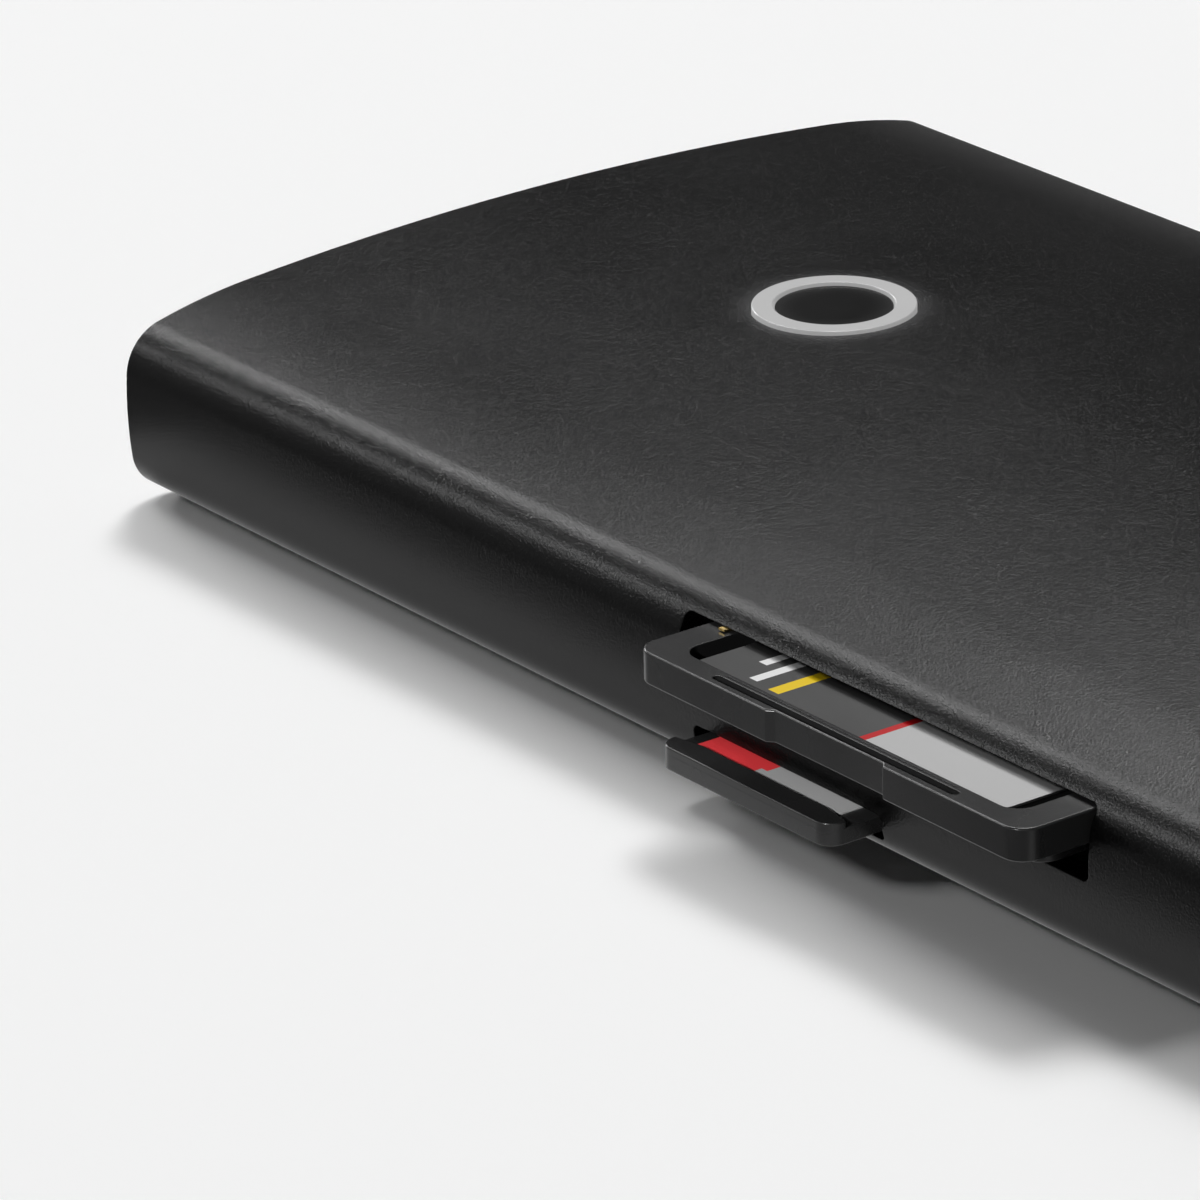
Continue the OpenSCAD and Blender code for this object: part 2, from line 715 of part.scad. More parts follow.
module usb_a_shell() {
    inner_width = usb_a_width - 2 * shell_sheet;
    inner_height = usb_a_height - 2 * shell_sheet;
    finger_x = 3.4;
    finger_half = 0.9;
    finger = [-8, -2.6];
    slit = 0.2;
    difference() {
        along_y(-usb_a_depth, 0) rounded(usb_a_width, usb_a_height, usb_a_corner);
        along_y(shell_sheet - usb_a_depth, 1) rounded(inner_width, inner_height, usb_a_bore_corner);
        // Slits that free the spring fingers, two above and two below
        for (x = [-finger_x, finger_x], edge = [-finger_half, finger_half - slit])
            block([x + edge, finger[0], -usb_a_height], [x + edge + slit, finger[1], usb_a_height]);
        for (x = [-finger_x, finger_x])
            block([x - finger_half, finger[1] - slit, -usb_a_height],
                  [x + finger_half, finger[1], usb_a_height]);
    }
    port_ears(usb_a_width / 2, usb_a_depth);
}

// Ears that stand on the board at each side of a port sunk into its edge
module port_ears(half, depth) {
    size = [1.2, 1.6, shell_sheet];
    overlap = 0.05;
    z = board_top - side_port_z;
    for (side = [-1, 1], y = [1.5, depth - 3])
        translate([side * (half - overlap + size[0] / 2), -y - size[1] / 2, z + size[2] / 2])
            cube(size, center = true);
}

module usb_a_tongue() {
    inner_width = usb_a_width - 2 * shell_sheet;
    inner_height = usb_a_height - 2 * shell_sheet;
    back = shell_sheet - usb_a_depth;
    along_y(back, back + usb_a_block) rounded(inner_width, inner_height, usb_a_bore_corner);
    block([-usb_a_tongue_half, back + usb_a_block, usb_a_tongue_low], [usb_a_tongue_half, -1, 1.99]);
}

// Four long contacts and five short ones in front of them, under the tongue
module usb_a_contacts() {
    back = shell_sheet - usb_a_depth + usb_a_block;
    low = usb_a_tongue_low - strip;
    for (x = [-3.5, -1, 1, 3.5]) block([x - 0.5, back, low], [x + 0.5, -2.2, usb_a_tongue_low]);
    for (x = [-4, -2, 0, 2, 4]) block([x - 0.3, -2.1, low], [x + 0.3, -1.2, usb_a_tongue_low]);
}

module usb_a_place(i) translate([usb_a_x[i], side_port_front, side_port_z]) children();
module usb_a_left_shell() color(steel) usb_a_place(0) usb_a_shell();
module usb_a_left_tongue() color("#2b5fa8") usb_a_place(0) usb_a_tongue();
module usb_a_left_contacts() color(gold) usb_a_place(0) usb_a_contacts();
module usb_a_right_shell() color(steel) usb_a_place(1) usb_a_shell();
module usb_a_right_tongue() color("#2b5fa8") usb_a_place(1) usb_a_tongue();
module usb_a_right_contacts() color(gold) usb_a_place(1) usb_a_contacts();

// Mouth of the video port: square shoulders above, sloped lower corners
module hdmi_outline(inset) {
    half = hdmi_width / 2 - inset;
    top = hdmi_height / 2 - inset;
    slope_run = 2.05;
    knee = -0.85 + inset * 0.4;
    foot_half = hdmi_width / 2 - slope_run - inset * 0.6;
    polygon([[-half, top], [half, top], [half, knee], [foot_half, -top], [-foot_half, -top], [-half, knee]]);
}

module hdmi_place() translate([hdmi_x, side_port_front, side_port_z]) children();
module hdmi_window() translate([hdmi_x, 0, side_port_z])
    along_y(side_port_front - window_reach, half_width + 1) hdmi_outline(0);

module hdmi_shell() color(steel) hdmi_place() {
    difference() {
        along_y(-hdmi_depth, 0) hdmi_outline(0);
        along_y(shell_sheet - hdmi_depth, 1) hdmi_outline(hdmi_inset);
    }
    port_ears(hdmi_width / 2, hdmi_depth);
}

module hdmi_tongue() color(part_black) hdmi_place() {
    back = shell_sheet - hdmi_depth;
    along_y(back, back + hdmi_block) hdmi_outline(hdmi_inset);
    block([-5.6, back + hdmi_block, hdmi_tongue_span[0]], [5.6, -1.2, hdmi_tongue_span[1]]);
}

// Ten contacts above the tongue and nine below it, set half a pitch across
module hdmi_contacts() color(gold) hdmi_place() {
    back = shell_sheet - hdmi_depth + hdmi_block;
    front = -1.8;
    width = 0.3;
    above = hdmi_tongue_span[1];
    below = hdmi_tongue_span[0];
    for (i = [0:9]) block([i - 4.75, back, above], [i - 4.75 + width, front, above + fine_strip]);
    for (i = [0:8]) block([i - 4.25, back, below - fine_strip], [i - 4.25 + width, front, below]);
}

module usb_c_bore() pill(usb_c_width - 2 * shell_sheet, usb_c_height - 2 * shell_sheet);

module usb_c_shell() difference() {
    along_y(-usb_c_depth, 0) pill(usb_c_width, usb_c_height);
    along_y(shell_sheet - usb_c_depth, 1) usb_c_bore();
}

module usb_c_tongue() {
    back = shell_sheet - usb_c_depth;
    along_y(back, back + usb_c_block) usb_c_bore();
    along_y(back + usb_c_block, -1) rounded(6.69, usb_c_tongue_height, 0.2);
}

// Twelve contacts on each face of the tongue
module usb_c_contacts() {
    back = shell_sheet - usb_c_depth + usb_c_block;
    front = -1.6;
    half = usb_c_contact[0] / 2;
    face = usb_c_tongue_height / 2;
    for (i = [0:11], low = [face, -face - usb_c_contact[1]]) {
        x = (i - 5.5) * usb_c_pitch;
        block([x - half, back, low], [x + half, front, low + usb_c_contact[1]]);
    }
}

module data_place() translate([data_port_x, data_port_front, usb_c_z]) children();
module data_port_window() translate([data_port_x, 0, usb_c_z])
    along_y(data_port_front - window_reach, half_width + 1)
        pill(usb_c_width + data_window_growth, usb_c_height + data_window_growth);
module data_port_shell() color(steel) data_place() usb_c_shell();
module data_port_tongue() color(part_black) data_place() usb_c_tongue();
module data_port_contacts() color(gold) data_place() usb_c_contacts();

module host_place() translate([end_port_front, 0, usb_c_z]) rotate([0, 0, -90]) children();
module host_inlet_shell() color(steel) host_place() usb_c_shell();
module host_inlet_tongue() color(part_black) host_place() usb_c_tongue();
module host_inlet_contacts() color(gold) host_place() usb_c_contacts();

module power_place() translate([-end_port_front, 0, usb_c_z]) rotate([0, 0, 90]) children();
module power_port_shell() color(steel) power_place() usb_c_shell();
module power_port_tongue() color(part_black) power_place() usb_c_tongue();
module power_port_contacts() color(gold) power_place() usb_c_contacts();

housing_sleeve();
end_cap_left();
end_cap_right();
foot_near();
foot_far();
light_ring();
ring_centre();
ring_lamps();
main_board();
hub_chip();
video_chip();
power_chip();
power_coil();
clock_crystal();
sd_socket_base();
sd_socket_shell();
sd_socket_contacts();
ground_spring();
sd_card();
sd_card_label();
sd_card_pads();
microsd_socket_base();
microsd_socket_shell();
microsd_socket_contacts();
microsd_card();
microsd_card_label();
usb_a_left_shell();
usb_a_left_tongue();
usb_a_left_contacts();
usb_a_right_shell();
usb_a_right_tongue();
usb_a_right_contacts();
hdmi_shell();
hdmi_tongue();
hdmi_contacts();
data_port_shell();
data_port_tongue();
data_port_contacts();
host_inlet_shell();
host_inlet_tongue();
host_inlet_contacts();
power_port_shell();
power_port_tongue();
power_port_contacts();
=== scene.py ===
"""Looks of the USB-C hub: finer meshes for the sleeve, ring and cards, the finishes, the studio, the camera.
Sizes are in millimetres, in the CAD frame, and are turned into metres where a mesh is built."""

import json
from math import acos, atan2, ceil, cos, degrees, pi, radians, sin, sqrt, tan

import bpy
import numpy as np
from mathutils import Matrix, Vector
from mathutils.geometry import delaunay_2d_cdt


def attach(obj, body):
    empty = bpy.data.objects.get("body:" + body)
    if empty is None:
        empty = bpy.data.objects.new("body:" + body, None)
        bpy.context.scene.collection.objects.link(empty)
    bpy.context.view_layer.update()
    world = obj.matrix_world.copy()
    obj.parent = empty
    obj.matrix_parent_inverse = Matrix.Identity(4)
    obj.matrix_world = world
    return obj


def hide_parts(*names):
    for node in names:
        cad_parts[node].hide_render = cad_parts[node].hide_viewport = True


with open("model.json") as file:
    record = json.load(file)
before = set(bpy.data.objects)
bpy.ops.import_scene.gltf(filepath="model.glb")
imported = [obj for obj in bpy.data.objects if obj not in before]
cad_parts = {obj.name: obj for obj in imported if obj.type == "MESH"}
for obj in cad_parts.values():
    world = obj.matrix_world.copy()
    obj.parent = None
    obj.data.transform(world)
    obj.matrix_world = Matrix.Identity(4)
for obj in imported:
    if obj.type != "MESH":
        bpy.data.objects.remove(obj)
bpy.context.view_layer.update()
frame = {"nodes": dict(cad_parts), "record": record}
MM = 0.001

# Sizes that the CAD has too
UNDERSIDE = 0.4
BODY_HEIGHT = 9.23
HALF_WIDTH = 23.05
END_X = 55
WALL = 1
FLOOR_WALL = 0.7
FLOOR_POCKET_HALF = 20.5
CROWN_RADIUS = 180
BLEND_RADIUS = 30
SHOULDER_RADIUS = 2.4
SHOULDER_TURN = 86
SIDE_RADIUS = 20
BULGE_HEIGHT = 4.1
CORNER_RADIUS = 1.9
CROWN_TOP = UNDERSIDE + BODY_HEIGHT

SD_SLOT = (-14.8, 4.11, 10.66, 7.18)
MICROSD_SLOT = (-14, 1.4, -2, 2.55)
SLOT_CORNER = 0.3
SIDE_PORT_Z = 4.2
USB_A_X = (-30, -10)
USB_A_HALF = (6.6, 2.8)
USB_A_CORNER = 0.6
HDMI_X = 14
DATA_PORT_X = 34
USB_C_Z = 5.53
USB_C_HALF = (4.47, 1.58)
RING_X = -33.6
RING_OUTER = 3.7
RING_INNER = 2.675
RING_RISE = 0.13
RING_GAP = 0.08
SD_TRAY_DEPTH = 0.9
FOOT_OFFSET = 14
FOOT_HALF = (46, 2.5)
FOOT_THICKNESS = 0.6

# Collars between the windows in the far side and the ports' mouths
COLLAR_BACK = 22
COLLAR_WALL = 0.3
COLLAR_STEP = 0.02
COLLAR_RIM = 0.02
PORT_FRONT = 21
DATA_PORT_FRONT = 20.6
DATA_WINDOW_GROWTH = 0.15

# The cards' own frames: x across, y from the outer edge inwards, z down from the face
SD_ORIGIN = (-1.43, -26.30, 7.05)
MICROSD_ORIGIN = (-8.19, -25.03, 2.45)

# Roundings that the CAD leaves out
RIM = 0.07
RING_RIM = 0.05
FOOT_RIM = 0.06
END_ROUND = 0.14
CARD_ROUND = 0.1
CRISP = 0.01

# Heights, below the faces of the cards and below the crown
RING_DEPTH = 1.5
DISC_DEPTH = 1.4
SD_STEP = 1.4
SD_THICKNESS = 2.1
MICROSD_THICKNESS = 1
LABEL_SEAT = 0.3
SD_LABEL_TOP = 0.2
MICROSD_LABEL_TOP = 0.22


# Flat outlines
def soften(corners):
    """Closed outline, anticlockwise, from (x, y, radius) corners, with an arc at each."""
    step = 12
    points = []
    for i, (x, y, radius) in enumerate(corners):
        here = np.array([x, y], float)
        before = np.array(corners[i - 1][:2], float) - here
        after = np.array(corners[(i + 1) % len(corners)][:2], float) - here
        before /= np.linalg.norm(before)
        after /= np.linalg.norm(after)
        half = acos(np.clip(before @ after, -1, 1)) / 2
        if radius <= 0 or half > radians(89.5):
            points.append(here)
            continue
        middle = here + (before + after) / np.linalg.norm(before + after) * radius / sin(half)
        first = here + before * radius / tan(half) - middle
        last = here + after * radius / tan(half) - middle
        start = atan2(first[1], first[0])
        turn = (atan2(last[1], last[0]) - start + pi) % (2 * pi) - pi
        count = max(2, ceil(abs(degrees(turn)) / step))
        for k in range(count + 1):
            a = start + turn * k / count
            points.append(middle + radius * np.array([cos(a), sin(a)]))
    return np.array(points)


def rectangle(low_x, low_y, high_x, high_y, radius):
    return soften([(low_x, low_y, radius), (high_x, low_y, radius),
                   (high_x, high_y, radius), (low_x, high_y, radius)])


def pill(x, y, half_x, half_y):
    return rectangle(x - half_x, y - half_y, x + half_x, y + half_y, half_y * 0.999)


def circle(x, y, radius):
    count = 96
    turns = [2 * pi * k / count for k in range(count)]
    return np.array([(x + radius * cos(t), y + radius * sin(t)) for t in turns])


def resample(loop, longest):
    """The same outline with no edge longer than a length."""
    points = []
    for a, b in zip(loop, np.roll(loop, -1, axis=0)):
        count = max(1, ceil(np.linalg.norm(b - a) / longest))
        points += [a + (b - a) * k / count for k in range(count)]
    return np.array(points)


def outward(loop):
    """Unit normals of an anticlockwise outline at its points, and the miter that keeps an offset even."""
    edge = np.roll(loop, -1, axis=0) - loop
    edge /= np.maximum(np.linalg.norm(edge, axis=1, keepdims=True), 1e-9)
    side = np.stack([edge[:, 1], -edge[:, 0]], axis=1)
    both = side + np.roll(side, 1, axis=0)
    normal = both / np.linalg.norm(both, axis=1, keepdims=True)
    sharpest = 0.35
    miter = 1 / np.maximum((normal * side).sum(1), sharpest)
    return normal, miter


def grow(loop, distance):
    normal, miter = outward(loop)
    return loop + normal * (miter * distance)[:, None]


def holds(loop, points):
    """Which points lie inside an outline."""
    x, y = points[:, 0], points[:, 1]
    inside = np.zeros(len(points), bool)
    for (ax, ay), (bx, by) in zip(loop, np.roll(loop, -1, axis=0)):
        if ay == by:
            continue
        crosses = (ay > y) != (by > y)
        inside ^= crosses & (x < (bx - ax) * (y - ay) / (by - ay) + ax)
    return inside


# Meshes with known normals
class Form:
    """Collects sheets of points that carry their own normals, then becomes one object."""

    def __init__(self, place=None):
        self.points, self.normals, self.faces = [], [], []
        self.place = place or Matrix.Identity(4)

    def add(self, points, normals, faces):
        start = sum(len(p) for p in self.points)
        self.points.append(np.asarray(points, float))
        self.normals.append(np.asarray(normals, float))
        self.faces += [tuple(int(i) + start for i in f) for f in faces]

    def strip(self, rows, normals, closed=True):
        """Quads between rows of the same number of points."""
        count = len(rows[0])
        last = count if closed else count - 1
        faces = []
        for r in range(len(rows) - 1):
            for k in range(last):
                a, b = r * count + k, r * count + (k + 1) % count
                faces.append((a, b, b + count, a + count))
        self.add(np.concatenate(rows), np.concatenate(normals), faces)

    def patch(self, border, holes, lay, lines=()):
        """Fills a flat border, less its holes, and lays the result with lay(points) -> points, normals.
        lines are extra edges that the fill keeps."""
        verts, edges = [], []
        for loop in [border, *holes]:
            start = len(verts)
            verts += [Vector(p) for p in loop]
            edges += [(start + k, start + (k + 1) % len(loop)) for k in range(len(loop))]
        for a, b in lines:
            edges.append((len(verts), len(verts) + 1))
            verts += [Vector(a), Vector(b)]
        flat, _, faces, *_ = delaunay_2d_cdt(verts, edges, [], 0, 1e-6, False)
        flat = np.array([(v.x, v.y) for v in flat])
        faces = np.array([f for f in faces if len(f) == 3])
        middle = flat[faces].mean(1)
        keep = holds(np.asarray(border), middle)
        for hole in holes:
            keep &= ~holds(np.asarray(hole), middle)
        points, normals = lay(flat)
        self.add(points, normals, faces[keep])

    def build(self, name, material, slot, replaced=()):
        """Makes the object on the one body, with its material, and hides the CAD nodes that it stands in for.
        Its slot is not used.
        """
        points = np.concatenate(self.points)
        normals = np.concatenate(self.normals)
        turn = np.array(self.place.to_3x3())
        points = points @ turn.T + np.array(self.place.translation)
        normals = normals @ turn.T
        normals /= np.maximum(np.linalg.norm(normals, axis=1, keepdims=True), 1e-9)
        faces = []
        for f in self.faces:
            a, b, c = points[f[0]], points[f[1]], points[f[2]]
            facing = np.cross(b - a, c - a) @ normals[list(f)].sum(0)
            faces.append(f if facing >= 0 else f[::-1])
        mesh = bpy.data.meshes.new(name)
        mesh.from_pydata((points * MM).tolist(), [], faces)
        mesh.shade_smooth()
        mesh.normals_split_custom_set_from_vertices(normals.tolist())
        mesh.materials.append(material)
        piece = bpy.data.objects.new(name, mesh)
        bpy.context.scene.collection.objects.link(piece)
        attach(piece, "root")
        if replaced:
            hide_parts(*replaced)
        return piece


def quarter():
    """Turns of a quarter round, from 0 to a right angle."""
    steps = 4
    return [pi / 2 * k / steps for k in range(steps + 1)]


def flat_lay(z, up):
    """Lays points flat at a height, with normals that point up (1) or down (-1)."""
    def lay(points):
        return np.column_stack([points, np.full(len(points), z)]), np.tile([0, 0, up], (len(points), 1))
    return lay


def raised(loop, z):
    """Points of a flat outline at a height."""
    return np.column_stack([loop, np.full(len(loop), z)])


def tilted(side, turn, up):
    """Normals that lean from the side, at turn 0, to straight up or down, at a right angle."""
    return np.column_stack([side * cos(turn), np.full(len(side), up * sin(turn))])


def plate(form, outline, low, high, top_round, low_round, recesses=(), through=()):
    """Solid between two levels with rounded edges. recesses are (outline, depth, rounding) in the top,
    through are (outline, rounding) holes."""
    side, miter = outward(outline)
    rows, normals = [], []
    for turn in reversed(quarter()):
        rows.append(raised(grow(outline, -low_round * (1 - cos(turn))), low + low_round * (1 - sin(turn))))
        normals.append(tilted(side, turn, -1))
    for turn in quarter():
        rows.append(raised(grow(outline, -top_round * (1 - cos(turn))), high - top_round * (1 - sin(turn))))
        normals.append(tilted(side, turn, 1))
    form.strip(rows, normals)
    top_holes, low_holes = [], []
    for loop, depth, rounding in recesses:
        top_holes.append(sink(form, loop, high, high - depth, rounding))
        form.patch(loop, [], flat_lay(high - depth, 1))
    for loop, rounding in through:
        top_holes.append(sink(form, loop, high, low, rounding))
        low_holes.append(loop)
    form.patch(grow(outline, -top_round), top_holes, flat_lay(high, 1))
    form.patch(grow(outline, -low_round), low_holes, flat_lay(low, -1))


def sink(form, loop, high, low, rounding):
    """Walls of a hole with a rounded rim. Returns the outline that the rim takes up in the face."""
    side, _ = outward(loop)
    rows, normals = [], []
    for turn in reversed(quarter()):
        rows.append(raised(grow(loop, rounding * (1 - cos(turn))), high - rounding * (1 - sin(turn))))
        normals.append(tilted(-side, turn, 1))
    rows.append(raised(loop, low))
    normals.append(tilted(-side, 0, 1))
    form.strip(rows, normals)
    return grow(loop, rounding)


# Section of the sleeve
def spoke(centre, radius, turn):
    """Point of a circle at a turn from straight up."""
    return np.array(centre) + radius * np.array([sin(turn), cos(turn)])


def heading(a, b):
    """Turn from straight up of the way from a to b."""
    return atan2(b[0] - a[0], b[1] - a[1])


def way_of(value):
    return 1 if value >= 0 else -1


side_centre = np.array([HALF_WIDTH - SIDE_RADIUS, UNDERSIDE + BULGE_HEIGHT])
shoulder_centre = spoke(side_centre, SIDE_RADIUS - SHOULDER_RADIUS, radians(SHOULDER_TURN))
crown_centre = np.array([0, CROWN_TOP - CROWN_RADIUS])
between = shoulder_centre - crown_centre
gap = np.linalg.norm(between)
reach = (gap**2 + (CROWN_RADIUS - BLEND_RADIUS)**2 - (BLEND_RADIUS - SHOULDER_RADIUS)**2) / (2 * gap)
across = sqrt((CROWN_RADIUS - BLEND_RADIUS)**2 - reach**2)
blend_centre = crown_centre + (between * reach + np.array([-between[1], between[0]]) * across) / gap
corner_z = UNDERSIDE + CORNER_RADIUS
corner_y = side_centre[0] + sqrt((SIDE_RADIUS - CORNER_RADIUS)**2 - (side_centre[1] - corner_z)**2)
corner_centre = np.array([corner_y, corner_z])
TURNS = [0, heading(crown_centre, blend_centre), heading(blend_centre, shoulder_centre),
         radians(SHOULDER_TURN), heading(side_centre, corner_centre), pi]
ARCS = [(crown_centre, CROWN_RADIUS), (blend_centre, BLEND_RADIUS), (shoulder_centre, SHOULDER_RADIUS),
        (side_centre, SIDE_RADIUS), (corner_centre, CORNER_RADIUS)]
# Faces along each arc, and the distance round the section at which each starts
STEPS = [10, 8, 26, 8, 20]
STARTS = [0.0]
for (_, arc_radius), first_turn, last_turn in zip(ARCS, TURNS, TURNS[1:]):
    STARTS.append(STARTS[-1] + arc_radius * (last_turn - first_turn))
HALF_GIRTH = STARTS[-1] + corner_y


def section(s, inset=0.0):
    """Point (y, z) and normal of the section at a distance s round it from the crown, + towards +Y."""
    way, s = way_of(s), abs(s)
    if s >= STARTS[-1]:
        y = corner_y - (s - STARTS[-1])
        z = UNDERSIDE + (inset if y > FLOOR_POCKET_HALF or not inset else FLOOR_WALL)
        return way * y, z, 0.0, -1.0
    i = max(k for k in range(len(ARCS)) if STARTS[k] <= s)
    centre, radius = ARCS[i]
    turn = TURNS[i] + (s - STARTS[i]) / radius
    y, z = spoke(centre, radius - inset, turn)
    return way * y, z, way * sin(turn), cos(turn)


def half_stations():
    """Distances round the section, from the crown to the middle of the underside, where it has a vertex."""
    stations = []
    for i, count in enumerate(STEPS):
        stations += [STARTS[i] + (STARTS[i + 1] - STARTS[i]) * k / count for k in range(count)]
    pocket = STARTS[-1] + corner_y - FLOOR_POCKET_HALF
    pocket_step = 0.05
    return stations + [STARTS[-1], pocket, pocket + pocket_step, HALF_GIRTH]


def station_of(value, axis, low, high, inset=0.0):
    """Distance round the section where y (axis 0) or z (axis 1) has a value. It lies between low and high."""
    rising = section(high, inset)[axis] > section(low, inset)[axis]
    for _ in range(50):
        middle = (low + high) / 2
        if (section(middle, inset)[axis] < value) == rising:
            low = middle
        else:
            high = middle
    return (low + high) / 2


def side_hole(loop, way, inset=0.0):
    """Outline in x and z on the side that faces way, as x and s."""
    found = [way * station_of(z, axis=1, low=0.01, high=STARTS[-1], inset=inset) for _, z in loop]
    flat = np.column_stack([loop[:, 0], found])
    return flat if way < 0 else flat[::-1]


def top_hole(loop, inset=0.0):
    """Outline in x and y on the crown, as x and s."""
    found = [way_of(y) * station_of(abs(y), axis=0, low=0, high=STARTS[1], inset=inset) for _, y in loop]
    return np.column_stack([loop[:, 0], found])


def bottom_hole(loop):
    """Outline in x and y on the underside, as x and s."""
    found = [way_of(y) * (STARTS[-1] + corner_y - abs(y)) for _, y in loop]
    return np.column_stack([loop[:, 0], found])


def lay_section(inset, inwards):
    """Lays points in x and s on the section, with normals that point out or inwards."""
    def lay(points):
        found = np.array([section(s, inset) for s in points[:, 1]])
        sign = -1 if inwards else 1
        return (np.column_stack([points[:, 0], found[:, 0], found[:, 1]]),
                np.column_stack([np.zeros(len(points)), sign * found[:, 2], sign * found[:, 3]]))
    return lay


def rounded_rim(form, hole, inward, depth, rounding):
    """Rim and walls of a hole in the sleeve. hole is its outline as x and s, inward the way in. depth is how
    deep the walls go, or the points where they end. Returns the outline of the rim in the surface."""
    if signed_area(hole) < 0:
        hole = hole[::-1]
    wide = grow(hole, rounding)
    lay = lay_section(0, False)
    start, start_normal = lay(wide)
    edge, _ = lay(hole)
    inward = np.array(inward, float)
    end = edge + inward * rounding
    along = np.roll(edge, -1, axis=0) - np.roll(edge, 1, axis=0)
    rows, normals = [], []
    steps = 6
    for k in range(steps + 1):
        t = k / steps
        rows.append((1 - t)**2 * start + 2 * t * (1 - t) * edge + t * t * end)
        slope = 2 * (1 - t) * (edge - start) + 2 * t * (end - edge)
        normal = np.cross(slope, along)
        if k == 0:
            flip = np.sign((normal * start_normal).sum(1, keepdims=True))
        normals.append(normal * flip)
    normals = [n / np.linalg.norm(n, axis=1, keepdims=True) for n in normals]
    rows.append(edge + inward * depth if np.isscalar(depth) else depth)
    normals.append(normals[-1])
    form.strip(rows, normals)
    return wide


def signed_area(loop):
    nxt = np.roll(loop, -1, axis=0)
    return 0.5 * float((loop[:, 0] * nxt[:, 1] - nxt[:, 0] * loop[:, 1]).sum())


def usb_a_window(x):
    half_x, half_z = USB_A_HALF
    return rectangle(x - half_x, SIDE_PORT_Z - half_z, x + half_x, SIDE_PORT_Z + half_z, USB_A_CORNER)


def hdmi_window():
    half, foot, corner = 7.5, 5.45, 0.2
    low, knee, top = SIDE_PORT_Z - 2.75, SIDE_PORT_Z - 0.85, SIDE_PORT_Z + 2.75
    outline = [(-foot, low), (foot, low), (half, knee), (half, top), (-half, top), (-half, knee)]
    return soften([(HDMI_X + x, z, corner) for x, z in outline])


def data_window(growth):
    """Outline of the data port in the far side, grown by a distance."""
    return pill(DATA_PORT_X, USB_C_Z, USB_C_HALF[0] + growth, USB_C_HALF[1] + growth)


def make_sleeve():
    """The sleeve with its slots, port windows, ring hole and foot pockets, as a closed shell."""
    form = Form()
    outer_holes, inner_holes = [], []

    def window(loop, way):
        loop = resample(loop, longest=0.3)
        inner = side_hole(loop, way, WALL)
        outer = side_hole(loop, way)
        if signed_area(outer) < 0:
            outer, inner = outer[::-1], inner[::-1]
        wall_end, _ = lay_section(WALL, True)(inner)
        outer_holes.append(rounded_rim(form, outer, (0, -way, 0), wall_end, RIM))
        inner_holes.append(inner)

    window(rectangle(*SD_SLOT, SLOT_CORNER), way=-1)
    window(rectangle(*MICROSD_SLOT, SLOT_CORNER), way=-1)
    for x in USB_A_X:
        window(usb_a_window(x), way=1)
    window(hdmi_window(), way=1)
    window(data_window(DATA_WINDOW_GROWTH), way=1)
    ring = circle(RING_X, 0, RING_OUTER)
    inner = top_hole(ring, WALL)
    wall_end, _ = lay_section(WALL, True)(inner)
    outer_holes.append(rounded_rim(form, top_hole(ring), (0, 0, -1), wall_end, RING_RIM))
    inner_holes.append(inner)
    for side in (-1, 1):
        foot = bottom_hole(pill(0, side * FOOT_OFFSET, *FOOT_HALF))
        outer_holes.append(rounded_rim(form, foot, (0, 0, 1), FOOT_THICKNESS - UNDERSIDE, FOOT_RIM))

    half = half_stations()
    stations = [-s for s in reversed(half[1:])] + half
    straight = END_X - END_ROUND
    border = [(-straight, -HALF_GIRTH), (straight, -HALF_GIRTH), (straight, HALF_GIRTH),
              (-straight, HALF_GIRTH)]
    lines = [((-straight, s), (straight, s)) for s in stations[1:-1]]
    form.patch(border, outer_holes, lay_section(0, False), lines)
    inner_border = [(-END_X, -HALF_GIRTH), (END_X, -HALF_GIRTH), (END_X, HALF_GIRTH), (-END_X, HALF_GIRTH)]
    inner_lines = [((-END_X, s), (END_X, s)) for s in stations[1:-1]]
    form.patch(inner_border, inner_holes, lay_section(WALL, True), inner_lines)

    for end in (-1, 1):
        rows, normals = [], []
        for turn in quarter():
            found = np.array([section(s, END_ROUND * (1 - cos(turn))) for s in stations])
            x = end * (straight + END_ROUND * sin(turn))
            rows.append(np.column_stack([np.full(len(found), x), found[:, 0], found[:, 1]]))
            normals.append(np.column_stack([np.full(len(found), end * sin(turn)), found[:, 2] * cos(turn),
                                            found[:, 3] * cos(turn)]))
        form.strip(rows, normals, closed=False)
        inner = np.array([section(s, WALL) for s in stations])
        inside = np.column_stack([np.full(len(inner), end * END_X), inner[:, 0], inner[:, 1]])
        face = np.tile([end, 0, 0], (len(stations), 1))
        form.strip([rows[-1], inside], [face, face], closed=False)
    return form


